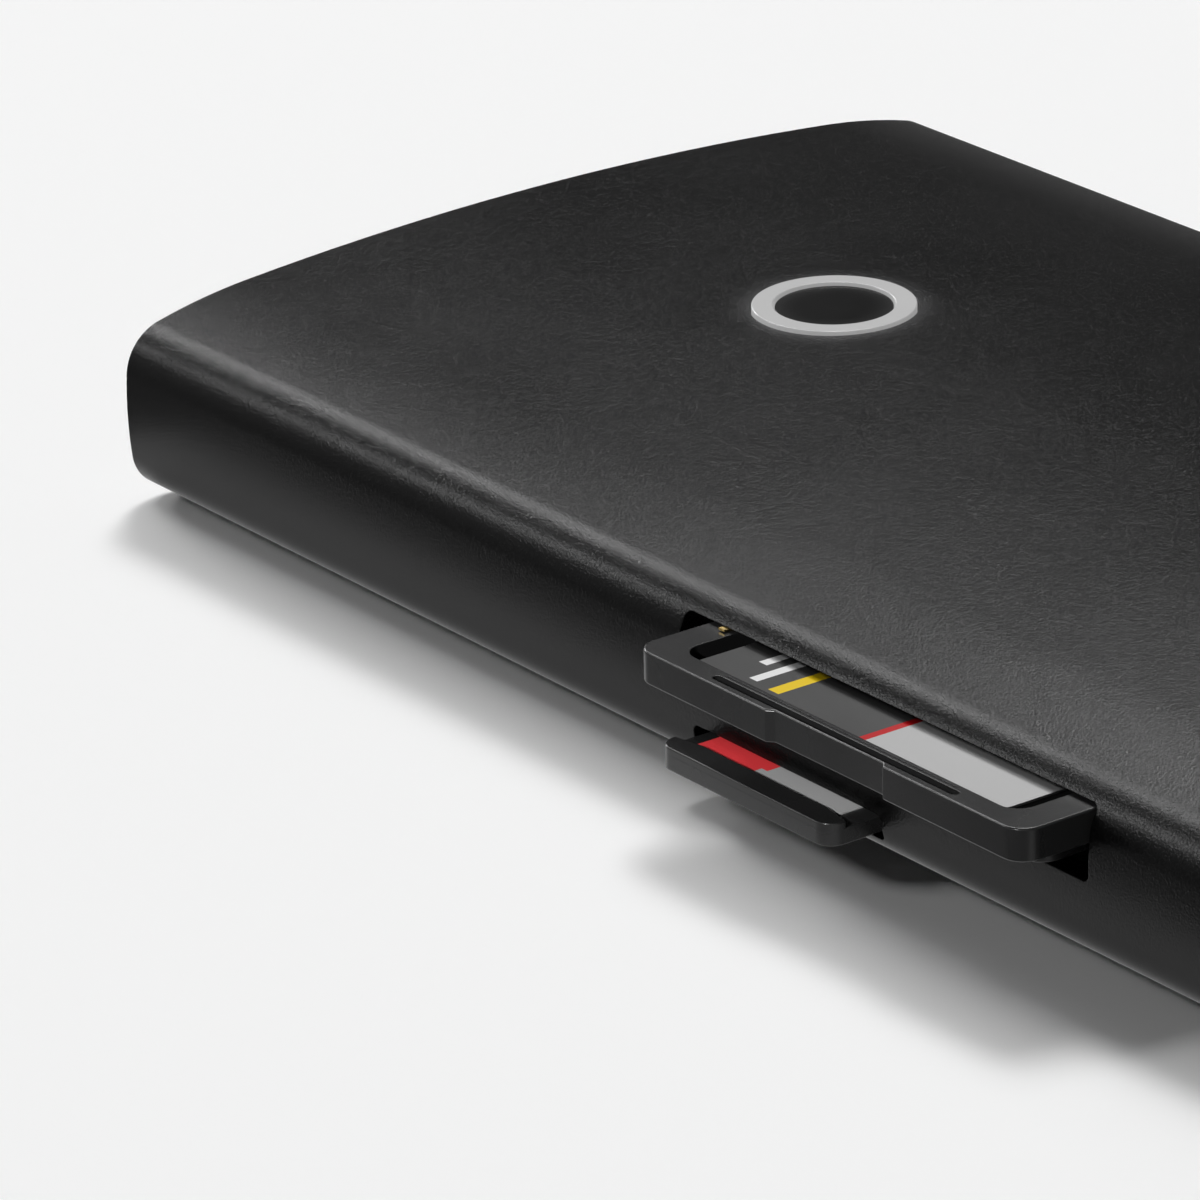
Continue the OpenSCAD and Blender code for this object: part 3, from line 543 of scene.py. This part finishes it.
# Materials
class Nodes:
    """Short way to write a node tree."""

    def __init__(self, name=None, tree=None):
        """Of a new material with a name, or of a tree that exists."""
        self.tree = tree
        if name:
            self.material = bpy.data.materials.new(name)
            self.material.use_nodes = True
            self.tree = self.material.node_tree
            self.shader = self.tree.nodes["Principled BSDF"]

    def add(self, kind, **settings):
        node = self.tree.nodes.new(kind)
        for key, value in settings.items():
            setattr(node, key, value)
        return node

    def link(self, source, target):
        self.tree.links.new(source, target)

    def place(self, origin):
        """Place on the object in millimetres, counted from an origin, as the outputs X, Y and Z."""
        coordinates = self.add("ShaderNodeTexCoord")
        moved = self.add("ShaderNodeVectorMath", operation="SUBTRACT")
        moved.inputs[1].default_value = tuple(v * MM for v in origin)
        scaled = self.add("ShaderNodeVectorMath", operation="SCALE")
        scaled.inputs["Scale"].default_value = 1 / MM
        split = self.add("ShaderNodeSeparateXYZ")
        self.link(coordinates.outputs["Object"], moved.inputs[0])
        self.link(moved.outputs[0], scaled.inputs[0])
        self.link(scaled.outputs[0], split.inputs[0])
        return split.outputs

    def math(self, operation, *values):
        node = self.add("ShaderNodeMath", operation=operation)
        for socket, value in zip(node.inputs, values):
            if isinstance(value, bpy.types.NodeSocket):
                self.link(value, socket)
            else:
                socket.default_value = value
        return node.outputs[0]

    def within(self, value, low, high):
        """1 where a value lies between two numbers, otherwise 0."""
        return self.math("COMPARE", value, (low + high) / 2, (high - low) / 2)

    def box(self, place, low_x, high_x, low_y, high_y):
        """1 in a rectangle of a place, otherwise 0."""
        return self.math("MULTIPLY", self.within(place["X"], low_x, high_x),
                         self.within(place["Y"], low_y, high_y))

    def painted_glow(self, start, end):
        """Mask of the ring's glow painted into a base colour: 1 at a distance start from the middle of the
        ring, 0 at a distance end, and 0 below the top.
        """
        place = self.place((RING_X, 0, 0))
        square = self.math("ADD", self.math("MULTIPLY", place["X"], place["X"]),
                           self.math("MULTIPLY", place["Y"], place["Y"]))
        fade = self.spread(self.math("SQRT", square), 0, 1, end, start)
        return self.math("MULTIPLY", self.math("MULTIPLY", fade, fade),
                         self.spread(place["Z"], 0, 1, *PAINTED_GLOW_FLOOR))

    def noise(self, scale, detail=2, distortion=0.0, stretch=None):
        node = self.add("ShaderNodeTexNoise")
        node.inputs["Scale"].default_value = scale
        node.inputs["Detail"].default_value = detail
        node.inputs["Distortion"].default_value = distortion
        coordinates = self.add("ShaderNodeTexCoord")
        if stretch:
            mapping = self.add("ShaderNodeMapping")
            mapping.inputs["Scale"].default_value = stretch
            self.link(coordinates.outputs["Object"], mapping.inputs["Vector"])
            self.link(mapping.outputs[0], node.inputs["Vector"])
        else:
            self.link(coordinates.outputs["Object"], node.inputs["Vector"])
        return node.outputs["Fac"]

    def spread(self, value, low, high, from_low=0.3, from_high=0.7):
        """Maps a value between two numbers, by default the usual range of a noise, to low and high."""
        node = self.add("ShaderNodeMapRange")
        for name, number in (("From Min", from_low), ("From Max", from_high),
                             ("To Min", low), ("To Max", high)):
            node.inputs[name].default_value = number
        self.link(value, node.inputs["Value"])
        return node.outputs["Result"]

    def ramp(self, value, stops):
        """Grey level of a value, from stops as (value, level)."""
        node = self.add("ShaderNodeValToRGB")
        self.link(value, node.inputs[0])
        elements = node.color_ramp.elements
        while len(elements) < len(stops):
            elements.new(0.5)
        for element, (position, level) in zip(elements, stops):
            element.position = position
            element.color = (level, level, level, 1)
        return node.outputs["Color"]

    def blend(self, value, first, second):
        node = self.add("ShaderNodeMix", data_type="RGBA")
        for socket, colour in ((6, first), (7, second)):
            if isinstance(colour, tuple):
                node.inputs[socket].default_value = (*colour, 1)
            else:
                self.link(colour, node.inputs[socket])
        self.link(value, node.inputs[0])
        return node.outputs[2]

    def bump(self, height, depth_mm):
        node = self.add("ShaderNodeBump")
        node.inputs["Strength"].default_value = 1
        node.inputs["Distance"].default_value = depth_mm * MM
        self.link(height, node.inputs["Height"])
        return node.outputs["Normal"]

    def set(self, **values):
        """Sets the shader's inputs to numbers, colours or outputs. Returns the material."""
        for key, value in values.items():
            socket = self.shader.inputs[key.replace("_", " ")]
            if isinstance(value, bpy.types.NodeSocket):
                self.link(value, socket)
            else:
                socket.default_value = (*value, 1) if isinstance(value, tuple) else value
        return self.material


# Where the ring's light, painted into the base colours round it as a painted glow, fades out, as mm from its
# edges, and the heights at which it sets in
PAINTED_GLOW_REACH = 1.5
DISC_PAINTED_GLOW_REACH = 1.3
PAINTED_GLOW_FLOOR = (5, 6)


def grained_plastic(name, dark, light, roughness, depth, ior=1.45, grain=5200, painted_glow=None):
    """Moulded plastic with a fine wavy leather grain, darker in its valleys, and a slow drift of gloss.
    painted_glow is the colour of the ring's light, painted into the base colour round the ring as a painted
    glow."""
    n = Nodes(name)
    waves = n.noise(grain, distortion=0.5)
    drift = n.noise(90)
    colour = n.blend(n.spread(waves, 0, 1), dark, light)
    # Painted glow: the ring's light painted into the base colour round the ring
    if painted_glow:
        colour = n.blend(n.painted_glow(RING_OUTER, RING_OUTER + PAINTED_GLOW_REACH), colour, painted_glow)
    rough = n.spread(drift, roughness - 0.02, roughness + 0.02)
    return n.set(Base_Color=colour, Roughness=rough, IOR=ior, Normal=n.bump(waves, depth))


def smooth_plastic(name, dark, light, roughness, depth=0.004, ior=1.45, painted_glow=None, fields=(),
                   origin=(0, 0, 0)):
    """Smooth plastic or print. fields are (low x, high x, low y, high y, colour) in a card's frame, whose
    origin is given. They are laid in their order."""
    n = Nodes(name)
    pits = n.noise(9000)
    drift = n.noise(160, detail=3)
    colour = n.blend(n.spread(drift, 0, 1), dark, light)
    # Painted glow: the ring's light painted into the base colour, fading in from the disc's edge
    if painted_glow:
        colour = n.blend(n.painted_glow(RING_INNER, RING_INNER - DISC_PAINTED_GLOW_REACH), colour, painted_glow)
    place = n.place(origin) if fields else None
    for *sides, paint in fields:
        colour = n.blend(n.box(place, *sides), colour, paint)
    rough = n.spread(drift, roughness - 0.03, roughness + 0.03)
    return n.set(Base_Color=colour, Roughness=rough, IOR=ior, Normal=n.bump(pits, depth))


def metal(name, colour, shade, roughness, stretch=(1, 1, 1), scale=4000):
    """Plated metal with fine rolling lines and faint stains."""
    n = Nodes(name)
    lines = n.noise(scale, stretch=stretch)
    stain = n.noise(300, detail=3)
    mixed = n.blend(n.spread(stain, 0, 1), colour, shade)
    rough = n.spread(lines, roughness - 0.06, roughness + 0.08)
    return n.set(Base_Color=mixed, Metallic=1.0, Roughness=rough, Normal=n.bump(lines, 0.002))


def emit(name, base, colour, strength):
    """Milky plastic, lit from behind."""
    n = Nodes(name)
    speck = n.noise(900)
    n.set(Base_Color=base, Roughness=0.25, IOR=1.45)
    n.set(Emission_Color=n.blend(n.spread(speck, 0, 1), colour, tuple(c * 0.96 for c in colour)))
    n.set(Emission_Strength=strength)
    return n.material


# The sleeve's base colour carries a painted glow round the ring
sleeve_plastic = grained_plastic(
    "grained_black_plastic", (0.002, 0.002, 0.002), (0.006, 0.006, 0.0061), roughness=0.21, depth=0.018,
    ior=1.22, grain=10500, painted_glow=(0.045, 0.045, 0.046))
cap_plastic = grained_plastic(
    "cap_black_plastic", (0.007, 0.007, 0.0073), (0.009, 0.009, 0.0093), roughness=0.4, depth=0.006)
card_plastic = smooth_plastic(
    "card_black_plastic", (0.008, 0.008, 0.0081), (0.010, 0.010, 0.0101), roughness=0.27, ior=1.33)
# The disc's base colour carries a painted glow inside its edge
ring_plastic = smooth_plastic(
    "ring_black_plastic", (0.006, 0.006, 0.006), (0.007, 0.007, 0.007), roughness=0.2, ior=1.22,
    painted_glow=(0.03, 0.03, 0.03))
rubber = grained_plastic(
    "foot_rubber", (0.011, 0.011, 0.0115), (0.016, 0.016, 0.0165), roughness=0.7, depth=0.012, grain=3500)
steel = metal(
    "socket_steel", (0.58, 0.59, 0.6), (0.48, 0.49, 0.5), roughness=0.3, stretch=(1, 12, 12), scale=900)
gold = metal("contact_gold", (0.83, 0.6, 0.2), (0.76, 0.52, 0.16), roughness=0.24)
socket_plastic = smooth_plastic(
    "socket_black_plastic", (0.007, 0.007, 0.007), (0.010, 0.010, 0.010), roughness=0.5)
board_green = smooth_plastic("board_green", (0.007, 0.03, 0.012), (0.009, 0.04, 0.016), roughness=0.35)
chip_plastic = smooth_plastic("chip_black", (0.01, 0.01, 0.01), (0.014, 0.014, 0.014), roughness=0.55)
coil_grey = smooth_plastic("coil_grey", (0.12, 0.115, 0.11), (0.16, 0.15, 0.145), roughness=0.6)
tongue_blue = smooth_plastic("tongue_blue", (0.02, 0.09, 0.32), (0.025, 0.11, 0.38), roughness=0.42)
lamp_white = emit("lamp_white", (0.8, 0.8, 0.78), (1, 0.98, 0.9), strength=1.0)
ring_light = emit("lit_ring", (0.20, 0.20, 0.20), (0.9, 0.9, 0.9), strength=0.34)

# Print on the cards
GREY = (0.062, 0.062, 0.062)
PALE = (0.47, 0.47, 0.47)
MID = (0.26, 0.26, 0.26)
RED = (0.48, 0.004, 0.007)
SOFT_RED = (0.50, 0.032, 0.037)
WHITE = (0.80, 0.80, 0.80)
YELLOW = (0.80, 0.56, 0.012)
SD_FIELDS = [
    (1.0, 20, 0, 30, PALE), (0.6, 1.0, 0, 30, RED), (-7.85, -7.35, 3.1, 6.9, WHITE),
    (-6.8, -6.3, 1.8, 6.9, WHITE), (-5.4, -4.75, 1.65, 6.9, YELLOW),
]
MICROSD_FIELDS = [(-10, -1.08, 0, 1.88, SOFT_RED), (-10, -0.73, 1.88, 10, SOFT_RED)]
sd_print = smooth_plastic(
    "sd_label_print", GREY, tuple(c * 1.06 for c in GREY), roughness=0.34, depth=0.001, ior=1.22,
    origin=SD_ORIGIN, fields=SD_FIELDS)
microsd_print = smooth_plastic(
    "microsd_label_print", MID, tuple(c * 1.04 for c in MID), roughness=0.34, depth=0.001, ior=1.22,
    origin=MICROSD_ORIGIN, fields=MICROSD_FIELDS)

# The finish of each slot, put on the CAD's own pieces
FINISH = {
    "grained_black": sleeve_plastic, "cap_black": cap_plastic, "foot_rubber": rubber,
    "lit_ring": ring_light, "ring_black": ring_plastic, "lamp_white": lamp_white,
    "board_green": board_green, "chip_black": chip_plastic, "coil_grey": coil_grey,
    "socket_steel": steel, "socket_black": socket_plastic, "contact_gold": gold,
    "tongue_blue": tongue_blue, "card_black": card_plastic, "sd_label_print": sd_print,
    "microsd_label_print": microsd_print,
}
for entry in frame["record"]["subparts"]:
    mesh = frame["nodes"][entry["node"]].data
    mesh.materials.clear()
    mesh.materials.append(FINISH[entry["material_slot"]])

# Pieces
make_sleeve().build("sleeve", sleeve_plastic, "grained_black", ["housing_sleeve"])


def sd_card():
    """Card in two steps. Its top has a tray for the label, a groove for the nail and a fine line."""
    form = Form(Matrix.Translation(SD_ORIGIN))
    upper = soften([(-12, 0, 1), (-3.5, 0, 0.08), (-3.2, 0.25, 0.08), (3.5, 0.25, 0.08), (3.8, 0, 0.08),
                    (12, 0, 1), (12, 28, 0.3), (8, 32, 0.3), (-12, 32, 0.6)])
    tray = rectangle(-10.38, 1.15, 10.38, 24.5, 0.9)
    groove = pill(0.12, 0.565, 7.55, 0.195)
    line = pill(0.12, 0.93, 7.2, 0.025)
    plate(form, upper, -SD_STEP, 0, CARD_ROUND, CARD_ROUND,
          [(tray, SD_TRAY_DEPTH, 0.04), (groove, 0.35, 0.03), (line, 0.05, CRISP)])
    seat = rectangle(-9.48, 1.24, 9.48, 24, 0.4)
    plate(form, seat, -SD_TRAY_DEPTH, -LABEL_SEAT, CRISP, CRISP)
    lower = soften([(-11.25, 1.5, 1), (11.25, 1.5, 1), (11.25, 28.75, 0.3), (8, 32, 0.3),
                    (-11.25, 32, 0.6)])
    plate(form, lower, -SD_THICKNESS, -SD_STEP, CRISP, CARD_ROUND)
    return form


def microsd_card():
    """Thin card with a ridge for the nail along its outer edge."""
    form = Form(Matrix.Translation(MICROSD_ORIGIN))
    outline = soften([(-5.5, 0, 0.8), (5.5, 0, 0.8), (5.5, 6.6, 0.2), (4.8, 7.4, 0.2), (4.2, 8, 0.2),
                      (4.2, 9, 0.2), (4.8, 9.6, 0.2), (4.8, 15, 0.6), (-5.5, 15, 0.8)])
    ridge = soften([(-5.5, 0, 0.8), (5.5, 0, 0.8), (5.5, 0.92, 0.02), (4, 1.2, 0.1), (-4, 1.2, 0.1),
                    (-5.5, 0.92, 0.02)])
    edge_round, ridge_sink = 0.07, 0.02
    plate(form, outline, -MICROSD_THICKNESS, -LABEL_SEAT, CRISP, edge_round)
    plate(form, ridge, -LABEL_SEAT - ridge_sink, 0, edge_round, 0.001)
    return form


def label(origin, outline, top):
    """Printed label that lies on its seat, with its top at a depth below the card's face."""
    form = Form(Matrix.Translation(origin))
    plate(form, outline, -LABEL_SEAT, -top, 0.03, 0.005)
    return form


def sd_label():
    outline = soften([(-9.52, 1.2, 0.04), (9.52, 1.2, 0.5), (9.52, 24, 0.1), (-9.52, 24, 0.1)])
    return label(SD_ORIGIN, outline, SD_LABEL_TOP)


def microsd_label():
    return label(MICROSD_ORIGIN, rectangle(-4.7, 1.3, 4.4, 7.2, 0.1), MICROSD_LABEL_TOP)


def ring():
    form = Form(Matrix.Translation((RING_X, 0, 0)))
    edge_round = 0.06
    plate(form, circle(0, 0, RING_OUTER - RING_GAP), CROWN_TOP - RING_DEPTH, CROWN_TOP + RING_RISE,
          edge_round, 0.02, (), [(circle(0, 0, RING_INNER), edge_round)])
    return form


def ring_disc():
    form = Form(Matrix.Translation((RING_X, 0, 0)))
    plate(form, circle(0, 0, RING_INNER - RING_GAP), CROWN_TOP - DISC_DEPTH, CROWN_TOP, 0.03, 0.02)
    return form


def port_collar(name, window, mouth, front):
    """Black frame that leads from a window in the far side to the mouth of its port. It lies on its side, so
    its own z is -Y."""
    form = Form(Matrix(((1, 0, 0), (0, 0, -1), (0, 1, 0))).to_4x4())
    plate(form, grow(window, COLLAR_WALL), -COLLAR_BACK, -front, CRISP, COLLAR_RIM, (),
          [(mouth, COLLAR_RIM)])
    form.build(name, cap_plastic, "cap_black")


for side_name, port_x in zip(("left", "right"), USB_A_X):
    port_collar("usb_a_collar_" + side_name, usb_a_window(port_x),
                grow(usb_a_window(port_x), -COLLAR_STEP), PORT_FRONT)
port_collar("hdmi_collar", hdmi_window(), grow(hdmi_window(), -COLLAR_STEP), PORT_FRONT)
port_collar("data_port_collar", data_window(DATA_WINDOW_GROWTH), data_window(-COLLAR_STEP), DATA_PORT_FRONT)
sd_card().build("sd_card_body", card_plastic, "card_black", ["sd_card"])
microsd_card().build("microsd_card_body", card_plastic, "card_black", ["microsd_card"])
sd_label().build("sd_card_print", sd_print, "sd_label_print", ["sd_card_label"])
microsd_label().build("microsd_card_print", microsd_print, "microsd_label_print", ["microsd_card_label"])
ring().build("lit_ring", ring_light, "lit_ring", ["light_ring"])
ring_disc().build("ring_disc", ring_plastic, "ring_black", ["ring_centre"])

# Studio, with its distances in metres
FLOOR_COLOUR = 0.965
FLOOR_HALF = 6
# What glossy reflections see of the floor, as (mm from the hub, level)
FLOOR_SEEN = [(0, 0.5), (0.7, 0.7), (1.8, 1.0), (5.4, 1.0), (6.4, 0.38), (11, 0.25)]


def make_floor():
    """Pale floor. Glossy reflections see it white close to the hub and grey further off, as a light card on a
    grey table."""
    n = Nodes("studio_floor")
    mottle = n.noise(3)
    n.set(Base_Color=n.blend(mottle, (FLOOR_COLOUR,) * 3, (FLOOR_COLOUR * 0.998,) * 3), Roughness=1.0)
    n.set(Specular_IOR_Level=0.0)
    place = n.place((0, 0, 0))
    away = n.math("MAXIMUM", n.math("SUBTRACT", n.math("ABSOLUTE", place["X"]), END_X),
                  n.math("SUBTRACT", n.math("ABSOLUTE", place["Y"]), HALF_WIDTH))
    furthest = FLOOR_SEEN[-1][0]
    seen = n.ramp(n.math("DIVIDE", away, furthest), [(mm / furthest, level) for mm, level in FLOOR_SEEN])
    card = n.add("ShaderNodeEmission")
    n.link(seen, card.inputs["Strength"])
    mix = n.add("ShaderNodeMixShader")
    n.link(n.add("ShaderNodeLightPath").outputs["Is Glossy Ray"], mix.inputs[0])
    n.link(n.shader.outputs[0], mix.inputs[1])
    n.link(card.outputs[0], mix.inputs[2])
    n.link(mix.outputs[0], n.tree.nodes["Material Output"].inputs["Surface"])
    square = [(-FLOOR_HALF, -FLOOR_HALF, 0), (FLOOR_HALF, -FLOOR_HALF, 0),
              (FLOOR_HALF, FLOOR_HALF, 0), (-FLOOR_HALF, FLOOR_HALF, 0)]
    mesh = bpy.data.meshes.new("studio_floor")
    mesh.from_pydata(square, [], [(0, 1, 2, 3)])
    mesh.materials.append(n.material)
    floor = bpy.data.objects.new("studio_floor", mesh)
    bpy.context.scene.collection.objects.link(floor)


def hang(name, lamp, azimuth, elevation, distance, target=(0, 0, 0)):
    """Puts a lamp at a distance from its target, which is in millimetres, and turns it to face the target."""
    item = bpy.data.objects.new(name, lamp)
    bpy.context.scene.collection.objects.link(item)
    a, e = radians(azimuth), radians(elevation)
    back = Vector((cos(e) * cos(a), cos(e) * sin(a), sin(e)))
    turn = back.to_track_quat("Z", "Y").to_matrix().to_4x4()
    item.matrix_world = Matrix.Translation(Vector(target) * MM + back * distance) @ turn
    return item


def soft_box(name, azimuth, elevation, width, height, radiance):
    """Rectangular lamp. width is across, height up, both as seen from the object at a distance of 1."""
    lamp = bpy.data.lights.new(name, "AREA")
    lamp.shape = "RECTANGLE"
    lamp.size, lamp.size_y = width * LAMP_DISTANCE, height * LAMP_DISTANCE
    lamp.energy = radiance * pi * lamp.size * lamp.size_y
    hang(name, lamp, azimuth, elevation, LAMP_DISTANCE)


def accent(name, target, azimuth, elevation, distance, angle, power, size, receivers):
    """Narrow soft-edged lamp. It lights only the receivers."""
    lamp = bpy.data.lights.new(name, "SPOT")
    lamp.energy = power
    lamp.spot_size = radians(angle)
    lamp.spot_blend = 1.0
    lamp.shadow_soft_size = size
    item = hang(name, lamp, azimuth, elevation, distance, target)
    lit = bpy.data.collections.new(name)
    for receiver in receivers:
        lit.objects.link(bpy.data.objects[receiver])
    item.light_linking.receiver_collection = lit


LAMP_DISTANCE = 8
# Lamps as (azimuth, elevation, width, height, radiance)
LAMPS = {
    "key_a": (138, 45, 0.20, 0.20, 9.97), "key_b": (144, 45, 0.20, 0.20, 9.09),
    "key_c": (132, 52, 0.20, 0.20, 10.7), "key_d": (138, 52, 0.20, 0.20, 12.0),
    "low_a": (164, 20, 0.20, 0.14, 7.24), "low_b": (176, 20, 0.20, 0.14, 31.0),
    "left_a": (212, 29, 0.19, 0.14, 10.95), "left_b": (224, 29, 0.19, 0.14, 15.35),
    "middle": (172, 38, 0.17, 0.14, 7.68),
    "high_a": (152, 47, 0.18, 0.14, 7.87), "high_b": (167, 47, 0.18, 0.14, 10.66),
    "high_c": (182, 47, 0.18, 0.14, 18.4), "high_d": (197, 47, 0.18, 0.14, 4.49),
}
for lamp_name, values in LAMPS.items():
    soft_box(lamp_name, *values)
accent("card_accent", target=(-6, -23.9, 3.3), azimuth=-70, elevation=28, distance=0.6, angle=4, power=25,
       size=0.01, receivers=["microsd_card_body", "microsd_card_print", "sd_card_body"])

# The sky lights at one low level. Glossy reflections see it at other levels, as (sine of elevation, level) in
# front and at the back, with a glow that rises to SKY_SIDE towards +X
SKY_LEVEL = 0.03
SKY_FRONT = [(0, 0.5), (0.3, 0.45), (0.45, 0.05), (1, 0.03)]
SKY_BACK = [(0, 0.12), (0.13, 0.08), (0.2, 0.03), (1, 0.03)]
SKY_SIDE = 0.5
# Where, in y, the front turns into the back and where, in x, the glow rises
SKY_TURN = (-0.35, -0.15)
SKY_RISE = (-0.3, 0.35)


def make_sky():
    world = bpy.data.worlds.new("studio_sky")
    bpy.context.scene.world = world
    world.use_nodes = True
    n = Nodes(tree=world.node_tree)
    split = n.add("ShaderNodeSeparateXYZ")
    n.link(n.add("ShaderNodeTexCoord").outputs["Generated"], split.inputs[0])
    glossy = n.add("ShaderNodeLightPath").outputs["Is Glossy Ray"]
    height = split.outputs["Z"]
    seen = n.blend(n.spread(split.outputs["Y"], 0, 1, *SKY_TURN), n.ramp(height, SKY_FRONT),
                   n.ramp(height, SKY_BACK))
    seen = n.math("ADD", seen, n.spread(split.outputs["X"], 0, SKY_SIDE, *SKY_RISE))
    level = n.blend(glossy, (SKY_LEVEL,) * 3, seen)
    n.link(level, n.tree.nodes["Background"].inputs["Color"])


make_floor()
make_sky()

# Camera, at the photograph's place, with its angles in degrees
CAMERA_PLACE = (211.91, -193.59, 123.23)
CAMERA_TURN = 53.67
CAMERA_TILT = 22.14
CAMERA_ROLL = -1.44
LENS = 229.05


def make_camera():
    a, e, roll = radians(CAMERA_TURN), radians(CAMERA_TILT), radians(CAMERA_ROLL)
    right = Vector((cos(a), sin(a), 0))
    ahead = Vector((-sin(a) * cos(e), cos(a) * cos(e), -sin(e)))
    up = right.cross(ahead)
    right, up = right * cos(roll) + up * sin(roll), up * cos(roll) - right * sin(roll)
    camera = bpy.data.cameras.new("camera")
    camera.sensor_width = 36
    camera.lens = LENS
    camera.clip_start = 0.01
    camera.clip_end = 50
    item = bpy.data.objects.new("camera", camera)
    bpy.context.scene.collection.objects.link(item)
    turn = Matrix((right, up, -ahead)).transposed().to_4x4()
    item.matrix_world = Matrix.Translation(Vector(CAMERA_PLACE) * MM) @ turn
    bpy.context.scene.camera = item


make_camera()
bpy.context.scene.view_settings.view_transform = "Standard"


def corners(box):
    return [[float(v) for v in corner] for corner in box]
